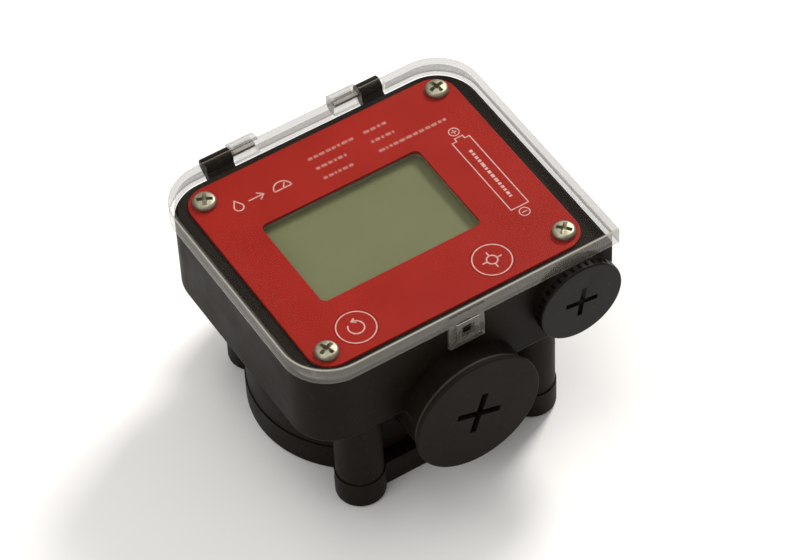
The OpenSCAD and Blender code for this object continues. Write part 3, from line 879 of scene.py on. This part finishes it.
def make_plate_print():
    """Pictograms: a drop, an arrow and a dial, and a cell with its two poles."""
    mesh = bmesh.new()
    z = plate_high.z - 0.005
    drop_x, drop_y = -26.0, 21.5
    tip = [(drop_x, drop_y + 2.2)]
    add_strip(mesh, arc(drop_x, drop_y, 1.15, 140, 400, 24) + tip, 0.32, z, True)
    add_strip(mesh, [(-23.2, 21.9), (-19.2, 21.9)], 0.34, z)
    add_strip(mesh, [(-20.5, 23.1), (-19.1, 21.9), (-20.5, 20.7)], 0.34, z)
    dial_x, dial_y = -14.4, 20.8
    add_strip(mesh, arc(dial_x, dial_y, 2.3, 0, 180, 24), 0.34, z)
    add_strip(mesh, [(dial_x - 2.3, dial_y), (dial_x + 2.3, dial_y)], 0.34, z)
    add_strip(mesh, [(dial_x, dial_y), (dial_x + 1.1, dial_y + 1.5)], 0.3, z)
    left, right, front, rear = 25.7, 30.5, -14.6, 10.5
    nub = 1.1
    mid = (left + right) / 2
    add_strip(mesh, [(left, front), (right, front), (right, rear), (mid + nub, rear), (mid + nub, rear + 1),
                     (mid - nub, rear + 1), (mid - nub, rear), (left, rear)], 0.28, z, True)
    add_dashes(mesh, mid - 0.4, -11.0, 17.5, 0.8, 31, z, True)
    for y, upright in ((13.5, True), (-16.6, False)):
        add_strip(mesh, ring(mid, y, 1.25, 40), 0.24, z, True)
        add_strip(mesh, [(mid - 0.7, y), (mid + 0.7, y)], 0.26, z)
        if upright:
            add_strip(mesh, [(mid, y - 0.7), (mid, y + 0.7)], 0.26, z)
    return new_piece("plate_print", mesh)


place(make_plate_print(), "housing", "pale_ink", finishes["pale_ink"])


def make_row_print():
    """Three pairs of broken bars, in fainter ink."""
    mesh = bmesh.new()
    z = plate_high.z - 0.005
    rows = ((-5.0, 24.7, 12.4, 6.2), (-4.9, 21.2, 8.8, 6.3), (-5.0, 17.7, 8.8, 18.5))
    for i, (x, y, left, right) in enumerate(rows):
        add_dashes(mesh, x, y, left, 0.8, 10 + i, z)
        add_dashes(mesh, 10.3, y, right, 0.8, 20 + i, z)
    return new_piece("row_print", mesh)


place(make_row_print(), "housing", "pale_ink", faint_ink)


def make_reset_print():
    """A ring round a returning arrow."""
    mesh = bmesh.new()
    z = corners("reset_key")[1].z - 0.02
    add_strip(mesh, ring(reset.x, reset.y, 4.65), 0.3, z, True)
    add_strip(mesh, arc(reset.x, reset.y, 1.9, 75, -225, 36), 0.36, z)
    x, y = arc(reset.x, reset.y, 1.9, 75, 75, 1)[0]
    add_patch(mesh, [(x - 0.95, y + 0.15), (x + 0.25, y - 0.85), (x + 0.35, y + 0.95)], z)
    return new_piece("reset_print", mesh)


place(make_reset_print(), "reset_key", "pale_ink", finishes["pale_ink"])


def make_calibrate_print():
    """A ring round a sighting cross."""
    mesh = bmesh.new()
    z = corners("calibrate_key")[1].z - 0.02
    add_strip(mesh, ring(calibrate.x, calibrate.y, 4.65), 0.3, z, True)
    add_strip(mesh, ring(calibrate.x, calibrate.y, 1.3, 40), 0.34, z, True)
    for turn in range(4):
        a, b = math.cos(turn * math.pi / 2), math.sin(turn * math.pi / 2)
        add_strip(mesh, [(calibrate.x + r * a, calibrate.y + r * b) for r in (1.5, 2.6)], 0.34, z)
    return new_piece("calibrate_print", mesh)


place(make_calibrate_print(), "calibrate_key", "pale_ink", finishes["pale_ink"])


# ---- threads ----

rear_thread = make_thread("rear_thread", port, root=13.3, crest=12.1, low=28.6, high=case_high.y - 0.8,
                          step=thread_pitch)
place(rear_thread, "housing", "black_case", finishes["black_case"])


# ---- floor, light and camera ----

def make_floor():
    """A wide, pale, matt floor."""
    mesh = bmesh.new()
    bmesh.ops.create_grid(mesh, x_segments=1, y_segments=1, size=3000)
    floor = new_piece("floor", mesh)
    f = Finish("pale_floor")
    shade = f.noise(180, 2).spread(0.2, 0.8)
    floor.data.materials.append(f.done(f.surface(
        Base_Color=f.mix(shade, grey(0.96), grey(0.945)),
        Roughness=0.8 + 0.05 * shade,
        Specular_IOR_Level=0.1)))


def add_light(name, azimuth, elevation, distance, size, power, aim=(0, 0, 0.03)):
    """A soft rectangular light that faces the object."""
    light = bpy.data.lights.new(name, "AREA")
    light.shape = "RECTANGLE"
    light.size, light.size_y = size
    light.energy = power
    light.color = (1.0, 0.965, 0.92)
    lamp = bpy.data.objects.new(name, light)
    a, e = math.radians(azimuth), math.radians(elevation)
    target = Vector(aim)
    way = Vector((math.sin(a) * math.cos(e), math.cos(a) * math.cos(e), math.sin(e)))
    lamp.location = target + distance * way
    lamp.rotation_euler = (target - lamp.location).to_track_quat("-Z", "Y").to_euler()
    bpy.context.scene.collection.objects.link(lamp)


def make_world():
    """Even warm white light from all round."""
    world = bpy.data.worlds.new("studio")
    world.use_nodes = True
    sky = world.node_tree.nodes["Background"]
    sky.inputs["Color"].default_value = (1.0, 0.99, 0.97, 1)
    sky.inputs["Strength"].default_value = 0.52
    bpy.context.scene.world = world


def add_camera():
    """The camera: front left, well above, turned a little, with a long lens."""
    low, high = cad_box
    aim = (low + high) / 2 + Vector((3.9, 0.5, 0)) * MM
    azimuth, elevation = math.radians(30.2), math.radians(49.43)
    forward = Vector((math.sin(azimuth) * math.cos(elevation), math.cos(azimuth) * math.cos(elevation),
                      -math.sin(elevation)))
    lens = bpy.data.cameras.new("camera")
    lens.sensor_width = 36
    lens.lens = 169.15
    lens.clip_end = 20
    distance = 0.888
    roll = math.radians(-2.868)
    camera = bpy.data.objects.new("camera", lens)
    turn = forward.to_track_quat("-Z", "Y").to_matrix() @ Matrix.Rotation(roll, 3, "Z")
    camera.matrix_world = Matrix.Translation(aim - forward * distance) @ turn.to_4x4()
    bpy.context.scene.collection.objects.link(camera)
    bpy.context.scene.camera = camera


make_floor()
make_world()
add_light("key", 62, 42, 1.0, (0.22, 0.22), 7.5)
add_light("top", 330, 78, 1.2, (0.6, 0.5), 3.4)
add_light("fill", 250, 42, 1.3, (0.7, 0.5), 2.8)
add_camera()
bpy.context.scene.view_settings.view_transform = "Standard"
